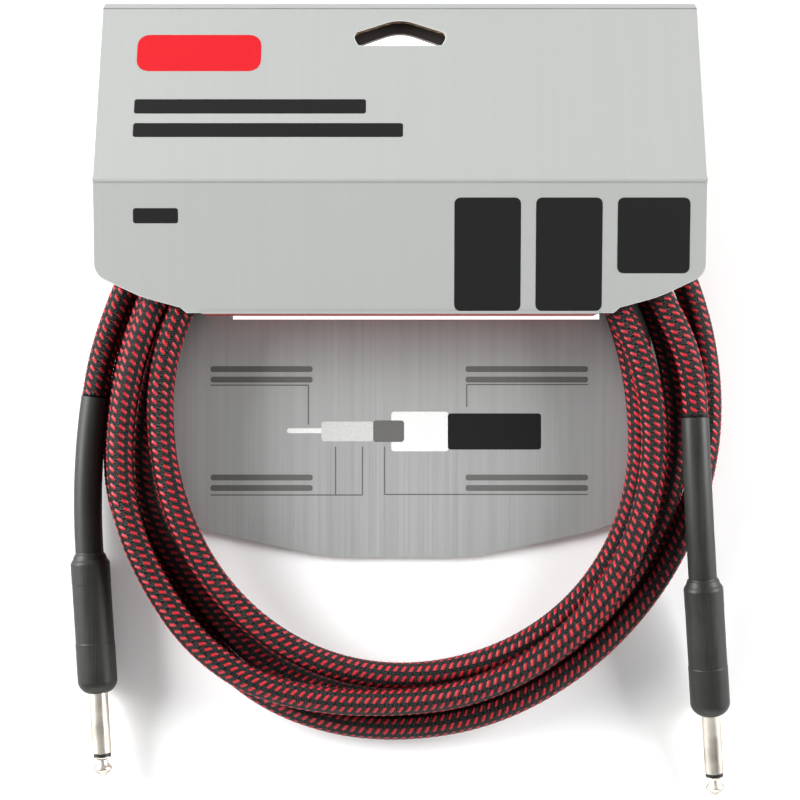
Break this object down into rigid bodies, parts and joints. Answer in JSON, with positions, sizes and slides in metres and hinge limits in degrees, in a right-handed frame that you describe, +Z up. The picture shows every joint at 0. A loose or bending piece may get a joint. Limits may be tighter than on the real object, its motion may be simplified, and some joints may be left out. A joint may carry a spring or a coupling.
{
  "type": "instrument cable",
  "caption": "Coiled instrument cable with a woven cover and a straight phone plug with a shrunk boot at each end, held in a folded display card",
  "frame": {"origin": "On the resting plane, under the middle of the box round the card and both plugs, in which the free cable isn't counted", "axes": "+X across the card towards the plug with the raised cable, +Y along the card from the plug tips to the fold with the hang hole, +Z up from the resting plane"},
  "size_m": [0.224, 0.2706, 0.0265],
  "materials": {
    "nickel": "polished nickel plate",
    "steel": "drawn",
    "tinned_brass": "tin-plated sheet",
    "black_insulator": "moulded",
    "clear_insulator": "smooth",
    "conductive_plastic": "smooth",
    "copper": "fine stranded copper",
    "jacket": "matt",
    "woven_cover": "black and red tweed weave",
    "shrunk_boot": "matt, slightly shiny where it is stretched",
    "card": "fluted board, light grey outside"
  },
  "bodies": {
    "base": {"left_tip": "nickel", "left_centre_rod": "steel", "left_tip_insulator": "black_insulator", "left_pin_sleeve": "nickel", "left_rod_liner": "black_insulator", "left_rear_washer": "black_insulator", "left_inner_sleeve": "clear_insulator", "left_metal_shell": "nickel", "left_tip_lug": "tinned_brass", "left_ground_clamp": "tinned_brass", "left_woven_end": "woven_cover", "left_jacket_end": "jacket", "left_shield_end": "copper", "left_drain_layer_end": "conductive_plastic", "left_insulation_end": "clear_insulator", "left_conductor_end": "copper", "left_boot": "shrunk_boot", "right_tip": "nickel", "right_centre_rod": "steel", "right_tip_insulator": "black_insulator", "right_pin_sleeve": "nickel", "right_rod_liner": "black_insulator", "right_rear_washer": "black_insulator", "right_inner_sleeve": "clear_insulator", "right_metal_shell": "nickel", "right_tip_lug": "tinned_brass", "right_ground_clamp": "tinned_brass", "right_woven_end": "woven_cover", "right_jacket_end": "jacket", "right_shield_end": "copper", "right_drain_layer_end": "conductive_plastic", "right_insulation_end": "clear_insulator", "right_conductor_end": "copper", "right_boot": "shrunk_boot", "cable_coil": "woven_cover", "left_lead": "woven_cover", "right_lead": "woven_cover", "card_back": "card"},
    "front_upper": {"card_front_upper": "card"},
    "front_lower": {"card_front_lower": "card"},
    "tuck_flap": {"card_tuck_flap": "card"}
  },
  "joints": [
    {"name": "top_fold", "type": "hinge", "parent": "base", "child": "front_upper", "pos_m": [0, 0.1352, 0.0019], "axis": [-1, 0, 0], "range_deg": [0, 110]},
    {"name": "front_crease", "type": "hinge", "parent": "front_upper", "child": "front_lower", "pos_m": [0, 0.07286, 0.02651], "axis": [-1, 0, 0], "range_deg": [0, 26]},
    {"name": "tuck_fold", "type": "hinge", "parent": "front_lower", "child": "tuck_flap", "pos_m": [0, 0.0288, 0.02188], "axis": [-1, 0, 0], "range_deg": [0, 84]}
  ],
  "couplings": [
    {"joint": "tuck_fold", "follows": "top_fold", "ratio": 0.76}
  ]
}
